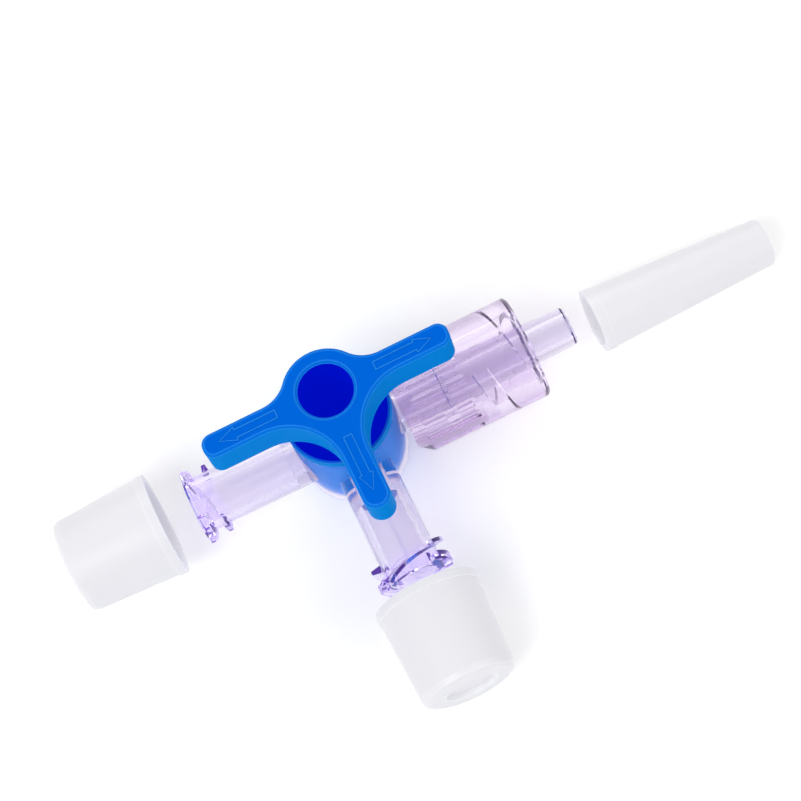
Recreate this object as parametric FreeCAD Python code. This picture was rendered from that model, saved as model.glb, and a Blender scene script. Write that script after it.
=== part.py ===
"""Three way stopcock with a lock collar and its three caps taken off.

The origin is the centre of the flat underside of the barrel, +Z is up,
+X runs along the ports towards the male connector, and the side port
points towards -Y. All sizes are in millimetres.
"""
import FreeCAD, Part

import math
import os

Vector = FreeCAD.Vector

# Barrel of the clear body
BARREL_RADIUS = 5.4
BARREL_WALL = 0.85
BARREL_FLOOR = 0.9
BARREL_RIM_ABOVE_PORTS = 5.8
BARREL_FOOT_CHAMFER = 0.2

# Port axis and the bores that meet in the barrel
FLOOR_GAP = 0.1
LUMEN_RADIUS = 1.2

# Female ports, with a conical socket of 6 % taper and a two-start thread
PORT_RADIUS = 2.88
LEFT_MOUTH_FROM_CENTRE = 17.0
SIDE_MOUTH_FROM_CENTRE = 16.75
SOCKET_MOUTH_RADIUS = 2.15
SOCKET_TAPER_LENGTH = 7.5
LEFT_SOCKET_DEPTH = 10.4
SIDE_SOCKET_DEPTH = 8.7
CONE_TAPER_PER_MM = 0.03
SOCKET_CHAMFER = 0.15

# Thread of the ports: a thick lug at the mouth and a thin ridge for each start
THREAD_LEAD = 5.0
THREAD_STARTS = 2
THREAD_CREST_RADIUS = 3.9
THREAD_ROOT_OVERLAP = 0.3
RIDGE_CREST_WIDTH = 0.4
RIDGE_BASE_WIDTH = 0.9
RIDGE_FIRST_CENTRE = 0.25
RIDGE_START_DEG = 18.0
RIDGE_SPAN_DEG = 160.0
LUG_LENGTH = 1.2
LUG_CHAMFER = 0.2
LUG_FLANK_LENGTH = 0.35
LUG_START_DEG = -52.0
LUG_SPAN_DEG = 58.0

# Male side: stem, retaining bead and luer cone
STEM_RADIUS = 2.45
STEM_SHOULDER_FROM_CENTRE = 13.9
CONE_TIP_RADIUS = 2.0
CONE_TIP_FROM_CENTRE = 24.7
CONE_TIP_CHAMFER = 0.2
MALE_LUMEN_RADIUS = 1.1
BEAD_FROM_CENTRE = 9.6
BEAD_WIDTH = 1.2
BEAD_HEIGHT = 0.4

# Lock collar
COLLAR_RADIUS = 5.4
COLLAR_START_FROM_CENTRE = 5.75
COLLAR_END_FROM_CENTRE = 20.0
COLLAR_CLEARANCE = 0.08
COLLAR_SHOULDER_FROM_CENTRE = 13.3
COLLAR_STEP_LENGTH = 0.8
COLLAR_STEP_RADIUS = 3.0
COLLAR_BORE_RADIUS = 3.5
COLLAR_GROOVE_RADIUS = 4.05
COLLAR_GROOVE_WIDTH = 1.9
COLLAR_GROOVE_ROOT_WIDTH = 1.5
COLLAR_GROOVE_START = 14.35
COLLAR_GROOVE_START_DEG = -65.0
COLLAR_CHAMFER_LENGTH = 1.5
COLLAR_CHAMFER_DEPTH = 1.0
COLLAR_EDGE_CHAMFER = 0.25
FLUTE_COUNT = 16
FLUTE_RADIUS = 0.9
FLUTE_DEPTH = 0.2
FLUTE_END_FROM_CENTRE = 12.7

# Blue core that turns in the barrel
CORE_CLEARANCE = 0.05
CORE_FLOOR_CLEARANCE = 0.1
CORE_CHANNEL_RADIUS = 1.15
CORE_RING_ABOVE_PORTS = 4.0
CORE_RING_WIDTH = 0.6
CORE_RING_HEIGHT = 0.2
CORE_RING_CLEARANCE = 0.06
DISH_GAP = 0.08
DISH_HEIGHT = 1.0
DISH_LIP = 0.3
DISH_FUNNEL_DEPTH = 1.15
DISH_TROUGH_DEPTH = 3.0
DISH_TROUGH_WALL = 0.45
NECK_RADIUS = 3.6
HUB_BORE_RADIUS = 2.75
HUB_BORE_FLOOR_ABOVE_PORTS = 2.4

# Handle plate with three arms
HANDLE_TOP_ABOVE_PORTS = 13.1
HANDLE_THICKNESS = 4.4
HUB_RADIUS = 4.3
HUB_BACK_FILLET = 3.5
ARM_LENGTH = 13.0
RUN_ARM_WIDTH = 2.5
SIDE_ARM_WIDTH = 2.8
RUN_ARM_TIP_RADIUS = 1.1
ARM_WEB_RADIUS = 5.9
HANDLE_EDGE_CHAMFER = 0.25
HUB_RIM_CHAMFER = 0.25

# Cap of a female port
CAP_OPEN_RADIUS = 5.4
CAP_CLOSED_RADIUS = 4.9
CAP_LENGTH = 10.3
CAP_WALL = 0.75
CAP_END_THICKNESS = 1.3
CAP_RECESS_RADIUS = 2.6
CAP_RECESS_DEPTH = 0.5
CAP_END_ROUNDING = 0.7
CAP_LIP_LENGTH = 0.9
CAP_LIP_HEIGHT = 0.12
LEFT_CAP_OPEN_FROM_CENTRE = 20.3
SIDE_CAP_OPEN_FROM_CENTRE = 18.7

# Cap of the male cone
TIP_CAP_OPEN_RADIUS = 3.35
TIP_CAP_CLOSED_RADIUS = 2.5
TIP_CAP_LENGTH = 19.3
TIP_CAP_WALL = 0.6
TIP_CAP_END_THICKNESS = 1.0
TIP_CAP_LIP_LENGTH = 1.0
TIP_CAP_LIP_HEIGHT = 0.1
TIP_CAP_END_ROUNDING = 0.4
TIP_CAP_OPEN_FROM_CENTRE = 27.2

# Short cones that make up a rounded corner of a cap
CORNER_STEPS = 2

# Places that follow from the driving sizes
PORT_HEIGHT = COLLAR_RADIUS + FLOOR_GAP
BARREL_BORE_RADIUS = BARREL_RADIUS - BARREL_WALL
BARREL_HEIGHT = PORT_HEIGHT + BARREL_RIM_ABOVE_PORTS
CORE_RADIUS = BARREL_BORE_RADIUS - CORE_CLEARANCE
CORE_BOTTOM = BARREL_FLOOR + CORE_FLOOR_CLEARANCE
HANDLE_TOP = PORT_HEIGHT + HANDLE_TOP_ABOVE_PORTS
HANDLE_UNDERSIDE = HANDLE_TOP - HANDLE_THICKNESS

# Turns a shape made along +Z so that it runs along +X, with its first angle at +Y
ALONG_X = FreeCAD.Rotation(Vector(1, 1, 1), 120)
# The same, but running along +Y with its first angle at -X
ALONG_Y = FreeCAD.Rotation(Vector(0, 0, 1), 90).multiply(ALONG_X)


def revolve(points, span_deg=360):
    """Solid of revolution about Z from (radius, height) corner points."""
    corners = [Vector(radius, 0, height) for radius, height in points]
    outline = Part.makePolygon(corners + corners[:1])
    return Part.Face(outline).revolve(Vector(0, 0, 0), Vector(0, 0, 1), span_deg)


def cylinder(radius, start, end):
    """Cylinder about Z between two heights."""
    return Part.makeCylinder(radius, end - start, Vector(0, 0, start))


def placed(shape, rotation, x=0.0, y=0.0, z=0.0):
    """Copy of a shape, turned and moved."""
    moved = shape.copy()
    moved.Placement = FreeCAD.Placement(Vector(x, y, z), rotation)
    return moved


def rounded_corner(radius, height, size):
    """Profile points of a rounded outer corner that ends at a height."""
    points = []
    for step in range(CORNER_STEPS + 1):
        angle = math.pi / 2 * step / CORNER_STEPS
        inward = size * (1 - math.cos(angle))
        down = size * (1 - math.sin(angle))
        points.append((radius - inward, height - down))
    return points


def chamfer_circles(shape, size, places):
    """Break the circular edges whose radius and height match one of the places."""
    chosen = []
    for edge in shape.Edges:
        curve = edge.Curve
        if not isinstance(curve, Part.Circle):
            continue
        for circle_radius, height in places:
            same_radius = abs(curve.Radius - circle_radius) < 1e-4
            same_height = abs(curve.Center.z - height) < 1e-4
            if same_radius and same_height:
                chosen.append(edge)
    return shape.makeChamfer(size, chosen)


def helical_bar(inner, outer, inner_width, outer_width, lead, start, start_deg, span_deg):
    """Bar of trapezoid section that winds about Z, right-handed.

    The section is inner_width wide at the radius inner and outer_width wide at
    the radius outer.
    """
    rise = lead * span_deg / 360.0
    helix = Part.makeHelix(lead, rise, outer)
    section = [
        Vector(inner, 0, -inner_width / 2),
        Vector(outer, 0, -outer_width / 2),
        Vector(outer, 0, outer_width / 2),
        Vector(inner, 0, inner_width / 2),
    ]
    outline = Part.makePolygon(section + section[:1])
    bar = Part.Wire(helix).makePipeShell([outline], True, True)
    return placed(bar, FreeCAD.Rotation(Vector(0, 0, 1), start_deg), z=start)


def thread_lug():
    """Thick start of a thread at a port's mouth, from height 0."""
    profile = [
        (0, 0),
        (THREAD_CREST_RADIUS - LUG_CHAMFER, 0),
        (THREAD_CREST_RADIUS, LUG_CHAMFER),
        (THREAD_CREST_RADIUS, LUG_LENGTH - LUG_FLANK_LENGTH),
        (PORT_RADIUS, LUG_LENGTH),
        (0, LUG_LENGTH),
    ]
    return revolve(profile, LUG_SPAN_DEG)


def female_port(length):
    """Threaded tube of a female port along +Z, with its mouth at height 0."""
    tube = cylinder(PORT_RADIUS, 0, length)
    beyond_mouth = cylinder(THREAD_CREST_RADIUS + 1, -THREAD_LEAD, 0)
    threads = []
    for index in range(THREAD_STARTS):
        turned = index * 360.0 / THREAD_STARTS
        ridge = helical_bar(
            PORT_RADIUS - THREAD_ROOT_OVERLAP,
            THREAD_CREST_RADIUS,
            RIDGE_BASE_WIDTH,
            RIDGE_CREST_WIDTH,
            THREAD_LEAD,
            RIDGE_FIRST_CENTRE,
            turned + RIDGE_START_DEG,
            RIDGE_SPAN_DEG,
        )
        lug_turn = FreeCAD.Rotation(Vector(0, 0, 1), turned + LUG_START_DEG)
        threads += [ridge, placed(thread_lug(), lug_turn)]
    return tube.multiFuse(threads).cut(beyond_mouth)


def female_bore(length, socket_depth):
    """Space inside a female port: conical socket, straight end and lumen."""
    end_radius = SOCKET_MOUTH_RADIUS - CONE_TAPER_PER_MM * SOCKET_TAPER_LENGTH
    profile = [
        (0, 0),
        (SOCKET_MOUTH_RADIUS + SOCKET_CHAMFER, 0),
        (SOCKET_MOUTH_RADIUS, SOCKET_CHAMFER),
        (end_radius, SOCKET_TAPER_LENGTH),
        (end_radius, socket_depth),
        (LUMEN_RADIUS, socket_depth),
        (LUMEN_RADIUS, length),
        (0, length),
    ]
    return revolve(profile)


def male_stem():
    """Stem, collar bead and cone along +Z, from the barrel's centre at height 0."""
    cone_length = CONE_TIP_FROM_CENTRE - STEM_SHOULDER_FROM_CENTRE
    cone_base = CONE_TIP_RADIUS + CONE_TAPER_PER_MM * cone_length
    bead_slope = BEAD_HEIGHT
    profile = [
        (0, 0),
        (STEM_RADIUS, 0),
        (STEM_RADIUS, BEAD_FROM_CENTRE),
        (STEM_RADIUS + BEAD_HEIGHT, BEAD_FROM_CENTRE),
        (STEM_RADIUS + BEAD_HEIGHT, BEAD_FROM_CENTRE + BEAD_WIDTH - bead_slope),
        (STEM_RADIUS, BEAD_FROM_CENTRE + BEAD_WIDTH),
        (STEM_RADIUS, STEM_SHOULDER_FROM_CENTRE),
        (cone_base, STEM_SHOULDER_FROM_CENTRE),
        (CONE_TIP_RADIUS, CONE_TIP_FROM_CENTRE),
        (0, CONE_TIP_FROM_CENTRE),
    ]
    stem = revolve(profile)
    return chamfer_circles(stem, CONE_TIP_CHAMFER, [(CONE_TIP_RADIUS, CONE_TIP_FROM_CENTRE)])


def valve_body():
    """Clear one-piece body: barrel, two female ports and the male cone."""
    barrel = cylinder(BARREL_RADIUS, 0, BARREL_HEIGHT)
    barrel = chamfer_circles(barrel, BARREL_FOOT_CHAMFER, [(BARREL_RADIUS, 0)])
    left = LEFT_MOUTH_FROM_CENTRE
    side = SIDE_MOUTH_FROM_CENTRE
    left_port = placed(female_port(left), ALONG_X, x=-left, z=PORT_HEIGHT)
    side_port = placed(female_port(side), ALONG_Y, y=-side, z=PORT_HEIGHT)
    stem = placed(male_stem(), ALONG_X, z=PORT_HEIGHT)
    body = barrel.multiFuse([left_port, side_port, stem])

    ring_middle = PORT_HEIGHT + CORE_RING_ABOVE_PORTS
    groove_radius = CORE_RADIUS + CORE_RING_HEIGHT + CORE_RING_CLEARANCE
    groove_half = CORE_RING_WIDTH / 2 + CORE_RING_CLEARANCE
    bore = cylinder(BARREL_BORE_RADIUS, BARREL_FLOOR, BARREL_HEIGHT + 1)
    groove = cylinder(groove_radius, ring_middle - groove_half, ring_middle + groove_half)
    left_bore = placed(female_bore(left, LEFT_SOCKET_DEPTH), ALONG_X, x=-left, z=PORT_HEIGHT)
    side_bore = placed(female_bore(side, SIDE_SOCKET_DEPTH), ALONG_Y, y=-side, z=PORT_HEIGHT)
    male_bore = placed(cylinder(MALE_LUMEN_RADIUS, 0, CONE_TIP_FROM_CENTRE + 1), ALONG_X, z=PORT_HEIGHT)
    return body.cut([bore, groove, left_bore, side_bore, male_bore])


def grip_flutes():
    """Round-bottomed flutes along the collar's grip, for the fingers."""
    start = COLLAR_START_FROM_CENTRE - 1
    depth_centre = COLLAR_RADIUS + FLUTE_RADIUS - FLUTE_DEPTH
    flute = placed(cylinder(FLUTE_RADIUS, start, FLUTE_END_FROM_CENTRE), FreeCAD.Rotation(), x=depth_centre)
    flutes = []
    for index in range(FLUTE_COUNT):
        turned = flute.copy()
        turned.rotate(Vector(0, 0, 0), Vector(0, 0, 1), index * 360.0 / FLUTE_COUNT)
        flutes.append(turned)
    return flutes


def lock_collar():
    """Turning collar over the male cone, with a two-start thread inside."""
    start = COLLAR_START_FROM_CENTRE
    end = COLLAR_END_FROM_CENTRE
    inner = STEM_RADIUS + COLLAR_CLEARANCE
    bead_inner = STEM_RADIUS + BEAD_HEIGHT + COLLAR_CLEARANCE
    step = COLLAR_SHOULDER_FROM_CENTRE - COLLAR_STEP_LENGTH
    profile = [
        (inner, start),
        (COLLAR_RADIUS - COLLAR_CHAMFER_DEPTH, start),
        (COLLAR_RADIUS, start + COLLAR_CHAMFER_LENGTH),
        (COLLAR_RADIUS, end),
        (COLLAR_BORE_RADIUS, end),
        (COLLAR_BORE_RADIUS, COLLAR_SHOULDER_FROM_CENTRE),
        (COLLAR_STEP_RADIUS, COLLAR_SHOULDER_FROM_CENTRE),
        (COLLAR_STEP_RADIUS, step),
        (inner, step),
        (inner, BEAD_FROM_CENTRE + BEAD_WIDTH + COLLAR_CLEARANCE),
        (bead_inner, BEAD_FROM_CENTRE + BEAD_WIDTH + COLLAR_CLEARANCE),
        (bead_inner, BEAD_FROM_CENTRE - COLLAR_CLEARANCE),
        (inner, BEAD_FROM_CENTRE - COLLAR_CLEARANCE),
    ]
    collar = revolve(profile)
    collar = chamfer_circles(collar, COLLAR_EDGE_CHAMFER, [(COLLAR_RADIUS, end)])
    run_out = end + COLLAR_GROOVE_WIDTH
    span_deg = (run_out - COLLAR_GROOVE_START) * 360.0 / THREAD_LEAD
    grooves = []
    for index in range(THREAD_STARTS):
        groove = helical_bar(
            COLLAR_BORE_RADIUS - THREAD_ROOT_OVERLAP,
            COLLAR_GROOVE_RADIUS,
            COLLAR_GROOVE_WIDTH,
            COLLAR_GROOVE_ROOT_WIDTH,
            THREAD_LEAD,
            COLLAR_GROOVE_START,
            index * 360.0 / THREAD_STARTS + COLLAR_GROOVE_START_DEG,
            span_deg,
        )
        grooves.append(groove)
    return placed(collar.cut(grooves + grip_flutes()), ALONG_X, z=PORT_HEIGHT)


def handle_outline():
    """Plan outline of the three-armed handle plate, at height 0."""
    run_half = RUN_ARM_WIDTH / 2
    side_half = SIDE_ARM_WIDTH / 2
    tip = RUN_ARM_TIP_RADIUS
    web = ARM_WEB_RADIUS
    diagonal = math.sqrt(0.5)

    # Fillet between the hub and the back edge of a run arm
    reach = HUB_RADIUS + HUB_BACK_FILLET
    fillet_y = run_half + HUB_BACK_FILLET
    fillet_x = math.sqrt(reach ** 2 - fillet_y ** 2)
    hub_share = HUB_RADIUS / reach
    hub_point = Vector(fillet_x * hub_share, fillet_y * hub_share, 0)
    hub_angle = math.atan2(fillet_y, fillet_x)
    middle_angle = -(math.pi / 2 + (math.pi / 2 + hub_angle)) / 2
    centre = Vector(fillet_x, fillet_y, 0)
    turn = Vector(math.cos(middle_angle), math.sin(middle_angle), 0) * HUB_BACK_FILLET
    fillet_middle = centre + turn

    # One half of the outline, from the back of the hub round to the side arm's tip
    tip_x = ARM_LENGTH - tip
    web_centre = Vector(side_half + web, -run_half - web, 0)
    side_centre_y = -ARM_LENGTH + side_half
    points = [
        ("arc", hub_point, fillet_middle, Vector(fillet_x, run_half, 0)),
        ("line", Vector(fillet_x, run_half, 0), Vector(tip_x, run_half, 0)),
        (
            "arc",
            Vector(tip_x, run_half, 0),
            Vector(tip_x + tip * diagonal, run_half - tip + tip * diagonal, 0),
            Vector(ARM_LENGTH, run_half - tip, 0),
        ),
        ("line", Vector(ARM_LENGTH, run_half - tip, 0), Vector(ARM_LENGTH, tip - run_half, 0)),
        (
            "arc",
            Vector(ARM_LENGTH, tip - run_half, 0),
            Vector(tip_x + tip * diagonal, tip - run_half - tip * diagonal, 0),
            Vector(tip_x, -run_half, 0),
        ),
        ("line", Vector(tip_x, -run_half, 0), Vector(web_centre.x, -run_half, 0)),
        (
            "arc",
            Vector(web_centre.x, -run_half, 0),
            web_centre + Vector(-diagonal, diagonal, 0) * web,
            Vector(side_half, web_centre.y, 0),
        ),
        ("line", Vector(side_half, web_centre.y, 0), Vector(side_half, side_centre_y, 0)),
    ]
    edges = []
    for kind, *corners in points:
        mirrored = [Vector(-corner.x, corner.y, corner.z) for corner in corners]
        for run in (corners, mirrored):
            curve = Part.Arc(*run) if kind == "arc" else Part.LineSegment(*run)
            edges.append(curve.toShape())
    hub_mirror = Vector(-hub_point.x, hub_point.y, 0)
    edges.append(Part.Arc(hub_point, Vector(0, HUB_RADIUS, 0), hub_mirror).toShape())
    side_tip = Part.Arc(
        Vector(side_half, side_centre_y, 0),
        Vector(0, -ARM_LENGTH, 0),
        Vector(-side_half, side_centre_y, 0),
    )
    edges.append(side_tip.toShape())
    return Part.Wire(Part.sortEdges(edges)[0])


def handle_plate():
    """Handle plate with broken rims, at its height above the barrel."""
    plate = Part.Face(handle_outline()).extrude(Vector(0, 0, HANDLE_THICKNESS))
    rims = [edge for edge in plate.Edges if edge.BoundBox.ZLength < 1e-6]
    plate = plate.makeChamfer(HANDLE_EDGE_CHAMFER, rims)
    return placed(plate, FreeCAD.Rotation(), z=HANDLE_UNDERSIDE)


def core_handle():
    """Blue core and handle in one piece, with its T-shaped channel."""
    plug_top = BARREL_HEIGHT + DISH_GAP
    dish_top = plug_top + DISH_HEIGHT
    trough_radius = CORE_RADIUS - DISH_TROUGH_WALL
    trough_top = dish_top - DISH_FUNNEL_DEPTH
    trough_floor = dish_top - DISH_TROUGH_DEPTH
    ring_middle = PORT_HEIGHT + CORE_RING_ABOVE_PORTS
    ring_low = ring_middle - CORE_RING_WIDTH / 2
    ring_high = ring_middle + CORE_RING_WIDTH / 2
    bore_floor = PORT_HEIGHT + HUB_BORE_FLOOR_ABOVE_PORTS
    profile = [
        (0, CORE_BOTTOM),
        (CORE_RADIUS, CORE_BOTTOM),
        (CORE_RADIUS, ring_low),
        (CORE_RADIUS + CORE_RING_HEIGHT, ring_low),
        (CORE_RADIUS + CORE_RING_HEIGHT, ring_high),
        (CORE_RADIUS, ring_high),
        (CORE_RADIUS, plug_top),
        (BARREL_RADIUS, plug_top),
        (BARREL_RADIUS, dish_top),
        (BARREL_RADIUS - DISH_LIP, dish_top),
        (trough_radius, trough_top),
        (trough_radius, trough_floor),
        (NECK_RADIUS, trough_floor),
        (NECK_RADIUS, HANDLE_UNDERSIDE + HANDLE_THICKNESS / 2),
        (0, HANDLE_UNDERSIDE + HANDLE_THICKNESS / 2),
    ]
    core = revolve(profile).fuse(handle_plate())
    hub_bore = cylinder(HUB_BORE_RADIUS, bore_floor, HANDLE_TOP + 1)
    core = core.cut(hub_bore)
    core = chamfer_circles(core, HUB_RIM_CHAMFER, [(HUB_BORE_RADIUS, HANDLE_TOP)])

    reach = BARREL_RADIUS
    run_channel = placed(cylinder(CORE_CHANNEL_RADIUS, -reach, reach), ALONG_X, z=PORT_HEIGHT)
    side_channel = placed(cylinder(CORE_CHANNEL_RADIUS, -reach, 0), ALONG_Y, z=PORT_HEIGHT)
    return core.cut([run_channel, side_channel])


def port_cap():
    """Cup-shaped cap along +Z, with its open end at height 0."""
    slope = (CAP_OPEN_RADIUS - CAP_CLOSED_RADIUS) / CAP_LENGTH
    lip_radius = CAP_OPEN_RADIUS - CAP_LIP_HEIGHT
    inner_end = CAP_LENGTH - CAP_END_THICKNESS
    inner_open = lip_radius - CAP_WALL
    profile = [
        (inner_open, 0),
        (CAP_OPEN_RADIUS, 0),
        (CAP_OPEN_RADIUS, CAP_LIP_LENGTH),
        (lip_radius, CAP_LIP_LENGTH),
        *rounded_corner(CAP_CLOSED_RADIUS, CAP_LENGTH, CAP_END_ROUNDING),
        (CAP_RECESS_RADIUS, CAP_LENGTH),
        (CAP_RECESS_RADIUS, CAP_LENGTH - CAP_RECESS_DEPTH),
        (0, CAP_LENGTH - CAP_RECESS_DEPTH),
        (0, inner_end),
        (inner_open - slope * inner_end, inner_end),
    ]
    return revolve(profile)


def tip_cap():
    """Long tapered cap of the male cone along +Z, with its open end at height 0."""
    slope = (TIP_CAP_OPEN_RADIUS - TIP_CAP_CLOSED_RADIUS) / TIP_CAP_LENGTH
    lip_radius = TIP_CAP_OPEN_RADIUS - TIP_CAP_LIP_HEIGHT
    inner_end = TIP_CAP_LENGTH - TIP_CAP_END_THICKNESS
    inner_open = lip_radius - TIP_CAP_WALL
    profile = [
        (inner_open, 0),
        (TIP_CAP_OPEN_RADIUS, 0),
        (TIP_CAP_OPEN_RADIUS, TIP_CAP_LIP_LENGTH),
        (lip_radius, TIP_CAP_LIP_LENGTH),
        *rounded_corner(TIP_CAP_CLOSED_RADIUS, TIP_CAP_LENGTH, TIP_CAP_END_ROUNDING),
        (0, TIP_CAP_LENGTH),
        (0, inner_end),
        (inner_open - slope * inner_end, inner_end),
    ]
    return revolve(profile)


def left_port_cap():
    """Cap taken off the left port, lying in line with it."""
    facing = FreeCAD.Rotation(Vector(0, 1, 0), -90)
    return placed(port_cap(), facing, x=-LEFT_CAP_OPEN_FROM_CENTRE, z=PORT_HEIGHT)


def side_port_cap():
    """Cap taken off the side port, lying in line with it."""
    facing = FreeCAD.Rotation(Vector(1, 0, 0), 90)
    return placed(port_cap(), facing, y=-SIDE_CAP_OPEN_FROM_CENTRE, z=PORT_HEIGHT)


def male_tip_cap():
    """Cap taken off the male cone, lying on its side on the surface."""
    drop = TIP_CAP_OPEN_RADIUS - TIP_CAP_CLOSED_RADIUS
    lean_deg = math.degrees(math.atan2(drop, TIP_CAP_LENGTH))
    facing = FreeCAD.Rotation(Vector(0, 1, 0), 90 + lean_deg)
    cap = placed(tip_cap(), facing)
    lowest = cap.BoundBox.ZMin
    return placed(tip_cap(), facing, x=TIP_CAP_OPEN_FROM_CENTRE, z=-lowest)


PIECES = {
    "valve_body": valve_body,
    "core_handle": core_handle,
    "lock_collar": lock_collar,
    "left_port_cap": left_port_cap,
    "side_port_cap": side_port_cap,
    "male_tip_cap": male_tip_cap,
}

os.makedirs("parts", exist_ok=True)
for name, make in PIECES.items():
    make().exportStep("parts/" + name + ".step")
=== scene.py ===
"""Looks of a three way stopcock that lies on a white table with its caps off.

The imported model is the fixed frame: its solids keep their places, and this
script gives them smooth shading, moulded plastics, a table and studio light.
"""
import logging
import math
from dataclasses import dataclass, field
from enum import Enum

import bmesh
import bpy
from mathutils import Matrix, Vector


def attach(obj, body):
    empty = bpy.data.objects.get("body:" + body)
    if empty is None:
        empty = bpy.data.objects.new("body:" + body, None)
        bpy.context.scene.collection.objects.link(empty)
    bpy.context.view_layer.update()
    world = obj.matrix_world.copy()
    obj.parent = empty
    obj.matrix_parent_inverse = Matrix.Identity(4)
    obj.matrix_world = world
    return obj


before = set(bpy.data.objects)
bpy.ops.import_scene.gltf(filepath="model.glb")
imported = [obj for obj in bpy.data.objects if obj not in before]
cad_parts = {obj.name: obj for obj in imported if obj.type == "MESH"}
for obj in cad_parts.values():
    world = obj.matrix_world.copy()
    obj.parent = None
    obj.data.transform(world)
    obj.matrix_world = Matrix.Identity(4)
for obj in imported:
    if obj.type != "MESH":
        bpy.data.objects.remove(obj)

LOG = logging.getLogger("stopcock")
PHOTO_WIDTH_PX = 801
MM = 0.001
PORT_ANGLES = (0.0, math.pi, -math.pi / 2)

Colour = tuple[float, float, float]


class Part(str, Enum):
    """Moulded parts of the stopcock, by the names of their solids."""

    BODY = "valve_body"
    HANDLE = "core_handle"
    COLLAR = "lock_collar"
    LEFT_CAP = "left_port_cap"
    SIDE_CAP = "side_port_cap"
    TIP_CAP = "male_tip_cap"


def linear(red: int, green: int, blue: int) -> Colour:
    """Turn a colour as seen on a screen into the linear colour of a shader.

    Args:
        red: Red, 0 to 255.
        green: Green, 0 to 255.
        blue: Blue, 0 to 255.

    Returns:
        The linear colour.
    """
    shares = [value / 255 for value in (red, green, blue)]
    return tuple(v / 12.92 if v <= 0.04045 else ((v + 0.055) / 1.055) ** 2.4 for v in shares)


def add_node(tree: bpy.types.NodeTree, kind: str, **values: object) -> bpy.types.Node:
    """Add a node and set its properties.

    Args:
        tree: Tree that gets the node.
        kind: Blender's name for the node.
        **values: Properties of the node.

    Returns:
        The new node.
    """
    node = tree.nodes.new(kind)
    for name, value in values.items():
        setattr(node, name, value)
    return node


def math_node(
    tree: bpy.types.NodeTree,
    operation: str,
    first: object,
    second: object,
) -> bpy.types.NodeSocket:
    """Join two values by a sum, product or other step.

    Args:
        tree: Tree that gets the node.
        operation: Blender's name for the step.
        first: A socket or a number.
        second: A socket or a number.

    Returns:
        The socket with the result.
    """
    node = add_node(tree, "ShaderNodeMath", operation=operation)
    for index, value in enumerate((first, second)):
        if isinstance(value, bpy.types.NodeSocket):
            tree.links.new(value, node.inputs[index])
        else:
            node.inputs[index].default_value = value
    return node.outputs[0]


@dataclass(frozen=True)
class Socket:
    """One input or output of a shared shader group."""

    name: str
    kind: str = "NodeSocketFloat"
    default: object = 0.0


class ShaderGroup:
    """A shader node group that several finishes share."""

    name = ""
    takes: tuple[Socket, ...] = ()
    gives: tuple[Socket, ...] = ()

    def __init__(self) -> None:
        """Make the group's sockets and nodes."""
        self.tree = bpy.data.node_groups.new(self.name, "ShaderNodeTree")
        for socket in self.takes:
            made = self.tree.interface.new_socket(name=socket.name, in_out="INPUT", socket_type=socket.kind)
            made.default_value = socket.default
        for socket in self.gives:
            self.tree.interface.new_socket(name=socket.name, in_out="OUTPUT", socket_type=socket.kind)
        self.inputs = add_node(self.tree, "NodeGroupInput").outputs
        self.outputs = add_node(self.tree, "NodeGroupOutput").inputs
        self.build()

    def build(self) -> None:
        """Lay out the group's nodes."""
        raise NotImplementedError

    def place(self, tree: bpy.types.NodeTree, **values: float) -> bpy.types.Node:
        """Put the group into a material.

        Args:
            tree: The material's tree.
            **values: Values of the group's inputs, with spaces as underscores.

        Returns:
            The group's node in that tree.
        """
        node = add_node(tree, "ShaderNodeGroup", node_tree=self.tree)
        for name, value in values.items():
            node.inputs[name.replace("_", " ")].default_value = value
        return node


class MouldedSkin(ShaderGroup):
    """Fine grain and slow waves of a moulded surface, as a height."""

    name = "Moulded skin"
    takes = (
        Socket("Grain Size", default=0.15),
        Socket("Wave Size", default=3.0),
        Socket("Grain Share", default=0.3),
    )
    gives = (Socket("Height"),)

    def build(self) -> None:
        """Mix a fine noise and a slow one, both in millimetres on the part."""
        tree = self.tree
        place = add_node(tree, "ShaderNodeTexCoord").outputs["Object"]
        heights = []
        for size in ("Grain Size", "Wave Size"):
            scale = math_node(tree, "DIVIDE", 1 / MM, self.inputs[size])
            noise = add_node(tree, "ShaderNodeTexNoise")
            noise.inputs["Detail"].default_value = 3
            tree.links.new(place, noise.inputs["Vector"])
            tree.links.new(scale, noise.inputs["Scale"])
            heights.append(noise.outputs["Fac"])
        mix = add_node(tree, "ShaderNodeMix", data_type="FLOAT")
        tree.links.new(self.inputs["Grain Share"], mix.inputs[0])
        tree.links.new(heights[1], mix.inputs[2])
        tree.links.new(heights[0], mix.inputs[3])
        tree.links.new(mix.outputs[0], self.outputs["Height"])


class EdgeShine(ShaderGroup):
    """Mask of the part's rounded edges, where a lighter colour is painted on as a highlight."""

    name = "Edge shine"
    takes = (
        Socket("Radius", default=0.3 * MM),
        Socket("Reach", default=8.0),
    )
    gives = (Socket("Edge"),)

    def build(self) -> None:
        """Compare the normal with one that is smoothed over the edges."""
        tree = self.tree
        bevel = add_node(tree, "ShaderNodeBevel", samples=6)
        tree.links.new(self.inputs["Radius"], bevel.inputs["Radius"])
        normal = add_node(tree, "ShaderNodeNewGeometry").outputs["Normal"]
        dot = add_node(tree, "ShaderNodeVectorMath", operation="DOT_PRODUCT")
        tree.links.new(bevel.outputs[0], dot.inputs[0])
        tree.links.new(normal, dot.inputs[1])
        turned = math_node(tree, "SUBTRACT", 1.0, dot.outputs["Value"])
        edge = math_node(tree, "MULTIPLY", turned, self.inputs["Reach"])
        edge.node.use_clamp = True
        tree.links.new(edge, self.outputs["Edge"])


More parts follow.
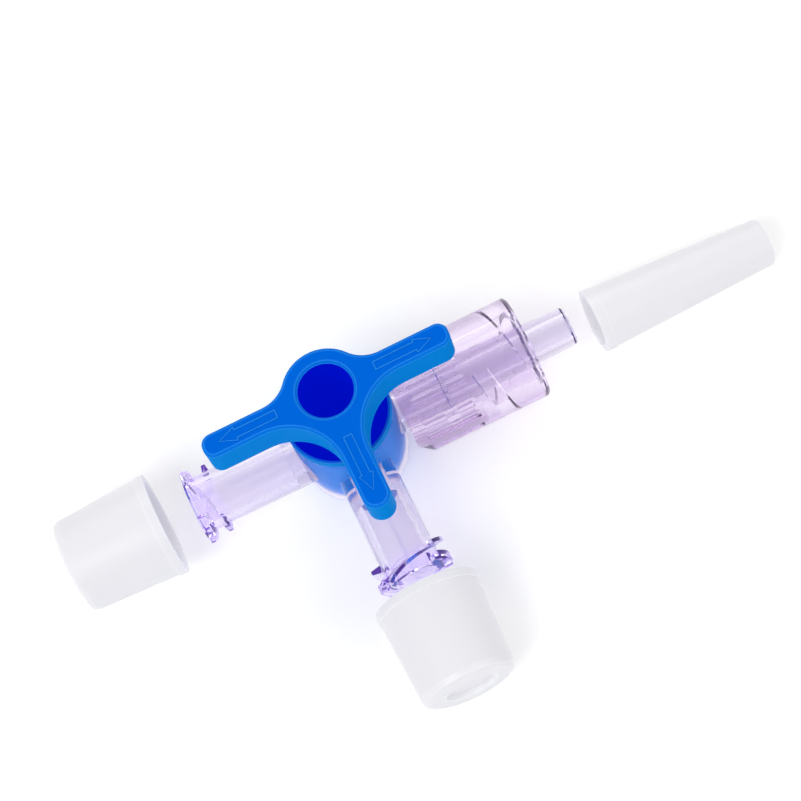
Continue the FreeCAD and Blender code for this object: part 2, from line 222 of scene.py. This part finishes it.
class CoreZone(ShaderGroup):
    """Mask of a round zone about the core's axis."""

    name = "Core zone"
    takes = (
        Socket("Radius", default=1.0 * MM),
        Socket("Top", default=1.0 * MM),
    )
    gives = (Socket("Zone"),)

    def build(self) -> None:
        """Mark what lies inside the radius and below the top."""
        tree = self.tree
        place = add_node(tree, "ShaderNodeTexCoord").outputs["Object"]
        axes = add_node(tree, "ShaderNodeSeparateXYZ")
        tree.links.new(place, axes.inputs[0])
        across = math_node(tree, "MULTIPLY", axes.outputs["X"], axes.outputs["X"])
        along = math_node(tree, "MULTIPLY", axes.outputs["Y"], axes.outputs["Y"])
        square = math_node(tree, "ADD", across, along)
        distance = math_node(tree, "POWER", square, 0.5)
        inside = math_node(tree, "LESS_THAN", distance, self.inputs["Radius"])
        below = math_node(tree, "LESS_THAN", axes.outputs["Z"], self.inputs["Top"])
        zone = math_node(tree, "MULTIPLY", inside, below)
        tree.links.new(zone, self.outputs["Zone"])


class PortMouths(ShaderGroup):
    """Mask of the two port mouths, where a stronger violet glow is painted on the thick threads."""

    name = "Port mouths"
    takes = (
        Socket("Distance", default=1.0 * MM),
        Socket("Blend", default=2.0 * MM),
    )
    gives = (Socket("Mouth"),)

    def build(self) -> None:
        """Mark what lies far enough out along -X or -Y."""
        tree = self.tree
        place = add_node(tree, "ShaderNodeTexCoord").outputs["Object"]
        axes = add_node(tree, "ShaderNodeSeparateXYZ")
        tree.links.new(place, axes.inputs[0])
        lowest = math_node(tree, "MINIMUM", axes.outputs["X"], axes.outputs["Y"])
        outward = math_node(tree, "MULTIPLY", lowest, -1.0)
        past = math_node(tree, "SUBTRACT", outward, self.inputs["Distance"])
        mouth = math_node(tree, "DIVIDE", past, self.inputs["Blend"])
        mouth.node.use_clamp = True
        tree.links.new(mouth, self.outputs["Mouth"])


@dataclass
class SharedGroups:
    """The shader groups, built once."""

    skin: MouldedSkin = field(default_factory=MouldedSkin)
    edges: EdgeShine = field(default_factory=EdgeShine)
    zone: CoreZone = field(default_factory=CoreZone)
    mouths: PortMouths = field(default_factory=PortMouths)


@dataclass(frozen=True)
class Finish:
    """What every moulded plastic of the part has."""

    name: str
    colour: Colour
    roughness: float
    grain_mm: float
    bump_mm: float

    def start(self, groups: SharedGroups) -> tuple[bpy.types.Material, bpy.types.Node]:
        """Make the material with its main shader and the bumps of its skin.

        Args:
            groups: The shared shader groups.

        Returns:
            The material and its main shader.
        """
        material = bpy.data.materials.new(self.name)
        material.use_nodes = True
        tree = material.node_tree
        shader = tree.nodes["Principled BSDF"]
        shader.inputs["Base Color"].default_value = (*self.colour, 1)
        shader.inputs["Roughness"].default_value = self.roughness
        skin = groups.skin.place(tree, Grain_Size=self.grain_mm)
        bump = add_node(tree, "ShaderNodeBump")
        bump.inputs["Distance"].default_value = self.bump_mm * MM
        tree.links.new(skin.outputs["Height"], bump.inputs["Height"])
        tree.links.new(bump.outputs["Normal"], shader.inputs["Normal"])
        return material, shader


@dataclass(frozen=True)
class ClearPlastic(Finish):
    """Clear moulded plastic, tinted by what light passes on its way through, with a painted glow that can
    be stronger at the port mouths.
    """

    tint: Colour
    tint_density: float
    glow: Colour
    painted_glow_strength: float
    ior: float = 1.5
    shadow_share: float = 0.85
    satin_roughness: float = 0.0
    satin_mm: tuple[float, float] | None = None
    mouth_painted_glow: Colour = (0.0, 0.0, 0.0)
    mouths_mm: float | None = None

    def make(self, groups: SharedGroups) -> bpy.types.Material:
        """Build the material.

        Args:
            groups: The shared shader groups.

        Returns:
            The clear plastic.
        """
        material, shader = self.start(groups)
        tree = material.node_tree
        shader.inputs["Transmission Weight"].default_value = 1.0
        shader.inputs["IOR"].default_value = self.ior
        # Painted glow: the plastic gives off a faint violet light of its own, which turns its dark glints
        # violet.
        shader.inputs["Emission Color"].default_value = (*self.glow, 1)
        shader.inputs["Emission Strength"].default_value = self.painted_glow_strength
        self.paint_mouth_glow(tree, groups, shader)
        self.add_satin(tree, groups, shader)
        lamp_ray = add_node(tree, "ShaderNodeLightPath").outputs["Is Shadow Ray"]
        through = add_node(tree, "ShaderNodeBsdfTransparent")
        through.inputs["Color"].default_value = (*self.colour, 1)
        share = math_node(tree, "MULTIPLY", lamp_ray, self.shadow_share)
        mix = add_node(tree, "ShaderNodeMixShader")
        tree.links.new(share, mix.inputs[0])
        tree.links.new(shader.outputs[0], mix.inputs[1])
        tree.links.new(through.outputs[0], mix.inputs[2])
        output = tree.nodes["Material Output"]
        tree.links.new(mix.outputs[0], output.inputs["Surface"])
        volume = add_node(tree, "ShaderNodeVolumeAbsorption")
        volume.inputs["Color"].default_value = (*self.tint, 1)
        volume.inputs["Density"].default_value = self.tint_density
        tree.links.new(volume.outputs[0], output.inputs["Volume"])
        return material

    def paint_mouth_glow(self, tree: bpy.types.NodeTree, groups: SharedGroups, shader: bpy.types.Node) -> None:
        """Paint a stronger violet glow on the port mouths.

        Args:
            tree: The material's tree.
            groups: The shared shader groups.
            shader: The main shader.
        """
        if self.mouths_mm is None:
            return
        mouths = groups.mouths.place(tree, Distance=self.mouths_mm * MM)
        light = add_node(tree, "ShaderNodeMix", data_type="RGBA")
        tree.links.new(mouths.outputs["Mouth"], light.inputs[0])
        light.inputs[6].default_value = (*self.glow, 1)
        light.inputs[7].default_value = (*self.mouth_painted_glow, 1)
        tree.links.new(light.outputs[2], shader.inputs["Emission Color"])

    def add_satin(self, tree: bpy.types.NodeTree, groups: SharedGroups, shader: bpy.types.Node) -> None:
        """Give the barrel about the core its satin surface.

        Args:
            tree: The material's tree.
            groups: The shared shader groups.
            shader: The main shader.
        """
        if self.satin_mm is None:
            return
        radius, top = self.satin_mm
        zone = groups.zone.place(tree, Radius=radius * MM, Top=top * MM)
        rougher = self.satin_roughness - self.roughness
        extra = math_node(tree, "MULTIPLY", zone.outputs["Zone"], rougher)
        tree.links.new(math_node(tree, "ADD", extra, self.roughness), shader.inputs["Roughness"])


@dataclass(frozen=True)
class SolidPlastic(Finish):
    """Opaque or milky moulded plastic with painted light: a lighter colour on upright faces, painted
    highlights on the edges, a painted glow, and painted shade in the recesses.
    """

    upright_painted_light: Colour
    edge_highlight_colour: Colour
    edge_highlight_share: float
    scatter: float
    scatter_mm: Colour
    shine: float = 0.5
    glow: Colour = (0.0, 0.0, 0.0)
    painted_glow_strength: float = 0.0
    recess_painted_shade: Colour = (0.0, 0.0, 0.0)
    recess_painted_glow: Colour = (0.0, 0.0, 0.0)
    shaded_recesses_mm: tuple[tuple[float, float], ...] = ()

    def make(self, groups: SharedGroups) -> bpy.types.Material:
        """Build the material.

        Args:
            groups: The shared shader groups.

        Returns:
            The solid plastic.
        """
        material, shader = self.start(groups)
        tree = material.node_tree
        # Painted light: upright faces get a lighter colour than flat ones, picked by the normal, in place
        # of the light that falls on them.
        normal = add_node(tree, "ShaderNodeTexCoord").outputs["Normal"]
        axes = add_node(tree, "ShaderNodeSeparateXYZ")
        tree.links.new(normal, axes.inputs[0])
        level = math_node(tree, "ABSOLUTE", axes.outputs["Z"], 0.0)
        upright = add_node(tree, "ShaderNodeMix", data_type="RGBA")
        upright.inputs[6].default_value = (*self.upright_painted_light, 1)
        upright.inputs[7].default_value = (*self.colour, 1)
        tree.links.new(level, upright.inputs[0])
        # Painted highlight: the rounded edges get a lighter colour.
        edges = groups.edges.place(tree)
        amount = math_node(tree, "MULTIPLY", edges.outputs["Edge"], self.edge_highlight_share)
        mix = add_node(tree, "ShaderNodeMix", data_type="RGBA")
        tree.links.new(upright.outputs[2], mix.inputs[6])
        mix.inputs[7].default_value = (*self.edge_highlight_colour, 1)
        tree.links.new(amount, mix.inputs[0])
        tree.links.new(self.paint_recess_shade(tree, groups, shader, mix.outputs[2]), shader.inputs["Base Color"])
        shader.inputs["Specular IOR Level"].default_value = self.shine
        # Painted glow: the part gives off light of its own.
        shader.inputs["Emission Color"].default_value = (*self.glow, 1)
        shader.inputs["Emission Strength"].default_value = self.painted_glow_strength
        shader.inputs["Subsurface Weight"].default_value = self.scatter
        shader.inputs["Subsurface Radius"].default_value = self.scatter_mm
        shader.inputs["Subsurface Scale"].default_value = MM
        return material

    def paint_recess_shade(
        self,
        tree: bpy.types.NodeTree,
        groups: SharedGroups,
        shader: bpy.types.Node,
        colour: bpy.types.NodeSocket,
    ) -> bpy.types.NodeSocket:
        """Paint shade into the recesses as a deeper colour, and paint a glow there.

        Args:
            tree: The material's tree.
            groups: The shared shader groups.
            shader: The main shader.
            colour: Colour outside the recesses.

        Returns:
            Colour of the whole surface.
        """
        if not self.shaded_recesses_mm:
            return colour
        depth: object = 0.0
        for radius, top in self.shaded_recesses_mm:
            recess = groups.zone.place(tree, Radius=radius * MM, Top=top * MM)
            depth = math_node(tree, "MAXIMUM", depth, recess.outputs["Zone"])
        # Painted shade: the recesses get a darker colour.
        mix = add_node(tree, "ShaderNodeMix", data_type="RGBA")
        tree.links.new(depth, mix.inputs[0])
        tree.links.new(colour, mix.inputs[6])
        mix.inputs[7].default_value = (*self.recess_painted_shade, 1)
        # Painted glow: the recesses give off a deep blue light of their own.
        light = add_node(tree, "ShaderNodeMix", data_type="RGBA")
        tree.links.new(depth, light.inputs[0])
        light.inputs[6].default_value = (*self.glow, 1)
        light.inputs[7].default_value = (*self.recess_painted_glow, 1)
        tree.links.new(light.outputs[2], shader.inputs["Emission Color"])
        return mix.outputs[2]


CLEAR = ClearPlastic(
    name="clear lilac plastic",
    colour=linear(243, 241, 245),
    roughness=0.03,
    grain_mm=0.6,
    bump_mm=0.004,
    tint=linear(208, 196, 220),
    tint_density=150.0,
    # Painted violet glow, lighter at the port mouths.
    glow=linear(49, 28, 107),
    painted_glow_strength=0.15,
    ior=1.4,
    satin_roughness=0.6,
    satin_mm=(5.46, 11.25),
    mouth_painted_glow=linear(114, 62, 208),
    mouths_mm=13.7,
)
LILAC = ClearPlastic(
    name="clear pink lilac plastic",
    colour=linear(250, 248, 252),
    roughness=0.02,
    grain_mm=0.6,
    bump_mm=0.004,
    tint=linear(196, 160, 213),
    tint_density=98.0,
    # Painted pink violet glow.
    glow=linear(160, 130, 185),
    painted_glow_strength=0.045,
    ior=1.52,
)
AZURE = SolidPlastic(
    name="azure plastic",
    colour=linear(0, 102, 218),
    roughness=0.42,
    grain_mm=0.25,
    bump_mm=0.006,
    # Painted light: lighter upright faces and painted highlights on the edges.
    upright_painted_light=linear(0, 136, 228),
    edge_highlight_colour=linear(60, 165, 255),
    edge_highlight_share=0.8,
    scatter=0.15,
    scatter_mm=(0.2, 0.5, 1.0),
    shine=0.005,
    # Painted shade and painted glow in the hub bore and in the gap about the core below the handle.
    painted_glow_strength=0.8,
    recess_painted_shade=linear(0, 8, 120),
    recess_painted_glow=linear(0, 14, 190),
    shaded_recesses_mm=((5.12, 14.15), (2.78, 18.3)),
)
WALL_AZURE = SolidPlastic(
    name="azure behind the clear wall",
    colour=linear(0, 112, 212),
    roughness=0.3,
    grain_mm=0.4,
    bump_mm=0.002,
    # Painted light on upright faces and painted highlights on the edges.
    upright_painted_light=linear(0, 124, 214),
    edge_highlight_colour=linear(20, 120, 230),
    edge_highlight_share=0.2,
    scatter=0.1,
    scatter_mm=(0.2, 0.5, 1.0),
    shine=0.0,
    # Painted blue glow.
    glow=linear(0, 130, 210),
    painted_glow_strength=0.3,
)
MILKY = SolidPlastic(
    name="milky cap plastic",
    colour=linear(213, 212, 216),
    roughness=0.38,
    grain_mm=0.3,
    bump_mm=0.006,
    # Painted light on upright faces and painted highlights on the edges.
    upright_painted_light=linear(213, 213, 219),
    edge_highlight_colour=linear(228, 228, 232),
    edge_highlight_share=0.5,
    scatter=0.6,
    scatter_mm=(1.6, 1.6, 1.7),
    # Painted white glow, which lightens the caps and their mouths.
    glow=(1.0, 1.0, 1.0),
    painted_glow_strength=0.16,
)


@dataclass
class Moulding:
    """One moulded part: its solid, smooth shading and finish."""

    part: Part
    crease_deg: float = 50.0

    def dress(self, material: bpy.types.Material) -> None:
        """Shade the solid smoothly and give it its finish.

        Args:
            material: The finish.
        """
        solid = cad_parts[self.part.value]
        mesh = solid.data
        mesh.materials.clear()
        mesh.materials.append(material)
        mesh.shade_smooth()
        mesh.set_sharp_from_angle(angle=math.radians(self.crease_deg))
        weighted = solid.modifiers.new("even_shading", "WEIGHTED_NORMAL")
        weighted.keep_sharp = True
        LOG.info("%s wears %s", self.part.value, material.name)


@dataclass
class FlowArrows:
    """Raised outline of an arrow on each arm, which shows the open ports."""

    start_mm: float = 5.2
    end_mm: float = 11.2
    shaft_half_mm: float = 0.42
    head_half_mm: float = 0.72
    head_mm: float = 1.7
    line_mm: float = 0.07
    top_mm: float = 18.6

    def outline(self) -> list[tuple[float, float]]:
        """Give the arrow's outline along +X.

        Returns:
            Its corners, in millimetres.
        """
        neck = self.end_mm - self.head_mm
        half = [
            (self.start_mm, self.shaft_half_mm),
            (neck, self.shaft_half_mm),
            (neck, self.head_half_mm),
        ]
        back = [(x, -y) for x, y in reversed(half)]
        return [*half, (self.end_mm, 0.0), *back]

    def build(self, material: bpy.types.Material) -> None:
        """Raise the three outlines on the handle.

        Args:
            material: Finish of the handle.
        """
        curve = bpy.data.curves.new("flow_arrows", "CURVE")
        curve.dimensions = "3D"
        curve.bevel_depth = self.line_mm * MM
        curve.bevel_resolution = 2
        corners = self.outline()
        for angle in PORT_ANGLES:
            spline = curve.splines.new("POLY")
            spline.points.add(len(corners) - 1)
            turn = Matrix.Rotation(angle, 3, "Z")
            for point, (x, y) in zip(spline.points, corners):
                place = turn @ Vector((x, y, self.top_mm)) * MM
                point.co = (*place, 1)
            spline.use_cyclic_u = True
        curve.materials.append(material)
        arrows = bpy.data.objects.new("flow_arrows", curve)
        bpy.context.collection.objects.link(arrows)
        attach(arrows, "core")
        LOG.info("flow arrows stand on the three arms")


@dataclass
class CoreSkin:
    """Skin of the core where it presses on the clear wall, with no air between them."""

    core_radius_mm: float = 4.5
    core_bottom_mm: float = 1.0
    bore_radius_mm: float = 4.55
    barrel_floor_mm: float = 0.9
    barrel_top_mm: float = 11.3
    ring_radius_mm: float = 4.76
    ring_middle_mm: float = 9.5
    ring_half_mm: float = 0.36
    channel_radius_mm: float = 1.15
    channel_height_mm: float = 5.5
    bite_mm: float = 0.005
    sides: int = 128
    channel_sides: int = 48
    crease_deg: float = 30.0

    def outline(self) -> list[tuple[float, float]]:
        """Give the section of the thin cup between the core and the wall.

        Returns:
            Radius and height of each corner, in millimetres.
        """
        low = self.ring_middle_mm - self.ring_half_mm
        high = self.ring_middle_mm + self.ring_half_mm
        wall = self.bore_radius_mm + self.bite_mm
        ring = self.ring_radius_mm + self.bite_mm
        bottom = self.barrel_floor_mm - self.bite_mm
        inner = self.core_radius_mm - self.bite_mm
        inner_bottom = self.core_bottom_mm + self.bite_mm
        return [
            (wall, bottom),
            (wall, low),
            (ring, low),
            (ring, high),
            (wall, high),
            (wall, self.barrel_top_mm),
            (inner, self.barrel_top_mm),
            (inner, inner_bottom),
        ]

    def turned(self) -> bpy.types.Object:
        """Turn the section into a closed cup.

        Returns:
            The skin before its channels are cut.
        """
        mesh = bpy.data.meshes.new("core_skin")
        shape = bmesh.new()
        rings = []
        for radius, height in self.outline():
            ring = []
            for index in range(self.sides):
                angle = math.tau * index / self.sides
                place = Vector((radius * math.cos(angle), radius * math.sin(angle), height)) * MM
                ring.append(shape.verts.new(place))
            rings.append(ring)
        for lower, upper in zip(rings, rings[1:]):
            for index in range(self.sides):
                after = (index + 1) % self.sides
                shape.faces.new((lower[index], lower[after], upper[after], upper[index]))
        shape.faces.new(tuple(reversed(rings[0])))
        shape.faces.new(tuple(rings[-1]))
        shape.to_mesh(mesh)
        shape.free()
        skin = bpy.data.objects.new("core_skin", mesh)
        bpy.context.collection.objects.link(skin)
        return skin

    def cut_channels(self, skin: bpy.types.Object) -> None:
        """Open the skin where the core's channels meet the ports.

        Args:
            skin: The skin.
        """
        reach = self.ring_radius_mm * 2 * MM
        middle = Vector((0, 0, self.channel_height_mm * MM))
        for angle in PORT_ANGLES:
            way = Vector((math.cos(angle), math.sin(angle), 0))
            drill_mesh = bpy.data.meshes.new("drill")
            shape = bmesh.new()
            turn = way.to_track_quat("Z", "Y").to_matrix().to_4x4()
            place = Matrix.Translation(middle + way * reach / 2) @ turn
            bmesh.ops.create_cone(
                shape,
                cap_ends=True,
                segments=self.channel_sides,
                radius1=self.channel_radius_mm * MM,
                radius2=self.channel_radius_mm * MM,
                depth=reach,
                matrix=place,
            )
            shape.to_mesh(drill_mesh)
            shape.free()
            drill = bpy.data.objects.new("drill", drill_mesh)
            bpy.context.collection.objects.link(drill)
            cut = skin.modifiers.new("cut", "BOOLEAN")
            cut.operation = "DIFFERENCE"
            cut.object = drill
            cut.solver = "EXACT"
            bpy.context.view_layer.update()
            graph = bpy.context.evaluated_depsgraph_get()
            cut_mesh = bpy.data.meshes.new_from_object(skin.evaluated_get(graph))
            skin.modifiers.clear()
            skin.data = cut_mesh
            bpy.data.objects.remove(drill)

    def build(self, material: bpy.types.Material) -> None:
        """Build the skin, which turns with the core.

        Args:
            material: Its finish.
        """
        skin = self.turned()
        self.cut_channels(skin)
        skin.data.name = "core_skin"
        skin.data.materials.clear()
        skin.data.materials.append(material)
        skin.data.shade_smooth()
        skin.data.set_sharp_from_angle(angle=math.radians(self.crease_deg))
        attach(skin, "core")
        LOG.info("core skin has %d faces", len(skin.data.polygons))


@dataclass(frozen=True)
class Camera:
    """The viewing angle, distance and framing of the photograph."""

    elevation_deg: float = 69.0
    roll_deg: float = 26.1
    distance_mm: float = 250.0
    target_mm: tuple[float, float, float] = (1.82, 0.0, 5.5)
    scale_px_per_mm: float = 10.0
    sensor_mm: float = 36.0
    centre_px: tuple[float, float] = (364.0, 425.6)

    def place(self) -> None:
        """Create the camera and make it the scene's."""
        data = bpy.data.cameras.new("camera")
        data.sensor_width = self.sensor_mm
        focal_px = self.scale_px_per_mm * self.distance_mm
        data.lens = focal_px * self.sensor_mm / PHOTO_WIDTH_PX
        middle = PHOTO_WIDTH_PX / 2
        data.shift_x = (middle - self.centre_px[0]) / PHOTO_WIDTH_PX
        data.shift_y = (self.centre_px[1] - middle) / PHOTO_WIDTH_PX
        camera = bpy.data.objects.new("camera", data)
        lift = math.radians(self.elevation_deg)
        back = Vector((0, -math.cos(lift), math.sin(lift)))
        up = Vector((0, math.sin(lift), math.cos(lift)))
        roll = math.radians(self.roll_deg)
        flat = Vector((1, 0, 0))
        right = flat * math.cos(roll) - up * math.sin(roll)
        top = flat * math.sin(roll) + up * math.cos(roll)
        turn = Matrix((right, top, back)).transposed().to_4x4()
        place = Vector(self.target_mm) * MM + back * self.distance_mm * MM
        camera.matrix_world = Matrix.Translation(place) @ turn
        bpy.context.collection.objects.link(camera)
        bpy.context.scene.camera = camera


@dataclass(frozen=True)
class Lamp:
    """A soft square lamp that points at the part."""

    name: str
    place_m: tuple[float, float, float]
    size_m: float
    power: float

    def place(self) -> None:
        """Create the lamp."""
        data = bpy.data.lights.new(self.name, "AREA")
        data.shape = "SQUARE"
        data.size = self.size_m
        data.energy = self.power
        lamp = bpy.data.objects.new(self.name, data)
        lamp.location = self.place_m
        lamp.rotation_euler = (-Vector(self.place_m)).to_track_quat("-Z", "Y").to_euler()
        bpy.context.collection.objects.link(lamp)


@dataclass
class Studio:
    """White table, pale surroundings and soft lamps."""

    table_m: float = 3.0
    table_colour: Colour = (0.86, 0.86, 0.86)
    glow: float = 0.26
    sky: float = 0.5
    lamps: tuple[Lamp, ...] = (
        Lamp("key", (-0.35, -0.25, 0.55), 0.35, 1.95),
        Lamp("fill", (0.45, -0.35, 0.40), 0.45, 0.8),
        Lamp("back", (0.10, 0.50, 0.45), 0.40, 1.05),
    )

    @staticmethod
    def seen_directly(tree: bpy.types.NodeTree) -> Socket:
        """Mark the rays that show the surroundings, straight or through plastic.

        Args:
            tree: Node tree of the table or the world.

        Returns:
            Socket with 1 for such a ray and 0 for a ray that only lights.
        """
        rays = add_node(tree, "ShaderNodeLightPath").outputs
        straight = math_node(tree, "MAXIMUM", rays["Is Camera Ray"], rays["Is Transmission Ray"])
        return math_node(tree, "MAXIMUM", straight, rays["Is Glossy Ray"])

    def table_finish(self) -> bpy.types.Material:
        """Build the table's white material, which keeps the part's shadow.

        Returns:
            The table's material.
        """
        material = bpy.data.materials.new("white table")
        material.use_nodes = True
        tree = material.node_tree
        shader = tree.nodes["Principled BSDF"]
        shader.inputs["Base Color"].default_value = (*self.table_colour, 1)
        shader.inputs["Roughness"].default_value = 0.9
        shader.inputs["Specular IOR Level"].default_value = 0.0
        seen = self.seen_directly(tree)
        shader.inputs["Emission Color"].default_value = (1, 1, 1, 1)
        tree.links.new(math_node(tree, "MULTIPLY", seen, self.glow), shader.inputs["Emission Strength"])
        return material

    def build(self) -> None:
        """Create the table, the world and the lamps."""
        half = self.table_m / 2
        corners = [(-half, -half, 0), (half, -half, 0), (half, half, 0), (-half, half, 0)]
        mesh = bpy.data.meshes.new("table")
        mesh.from_pydata(corners, [], [(0, 1, 2, 3)])
        mesh.materials.append(self.table_finish())
        table = bpy.data.objects.new("table", mesh)
        bpy.context.collection.objects.link(table)
        world = bpy.data.worlds.new("studio")
        bpy.context.scene.world = world
        world.use_nodes = True
        tree = world.node_tree
        background = tree.nodes["Background"]
        background.inputs["Color"].default_value = (1, 1, 1, 1)
        white = math_node(tree, "MULTIPLY", self.seen_directly(tree), 1 - self.sky)
        tree.links.new(math_node(tree, "ADD", white, self.sky), background.inputs["Strength"])
        for lamp in self.lamps:
            lamp.place()
        LOG.info("studio has %d lamps", len(self.lamps))


def main() -> None:
    """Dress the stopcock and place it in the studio."""
    logging.basicConfig(level=logging.INFO, format="%(name)s: %(message)s")
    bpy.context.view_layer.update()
    bpy.context.scene.view_settings.view_transform = "Standard"
    Camera().place()
    Studio().build()
    groups = SharedGroups()
    clear = CLEAR.make(groups)
    lilac = LILAC.make(groups)
    azure = AZURE.make(groups)
    milky = MILKY.make(groups)
    Moulding(Part.BODY).dress(clear)
    Moulding(Part.COLLAR).dress(lilac)
    Moulding(Part.HANDLE).dress(azure)
    CoreSkin().build(WALL_AZURE.make(groups))
    FlowArrows().build(azure)
    for cap in (Part.LEFT_CAP, Part.SIDE_CAP, Part.TIP_CAP):
        Moulding(cap).dress(milky)


if __name__ == "__main__":
    main()
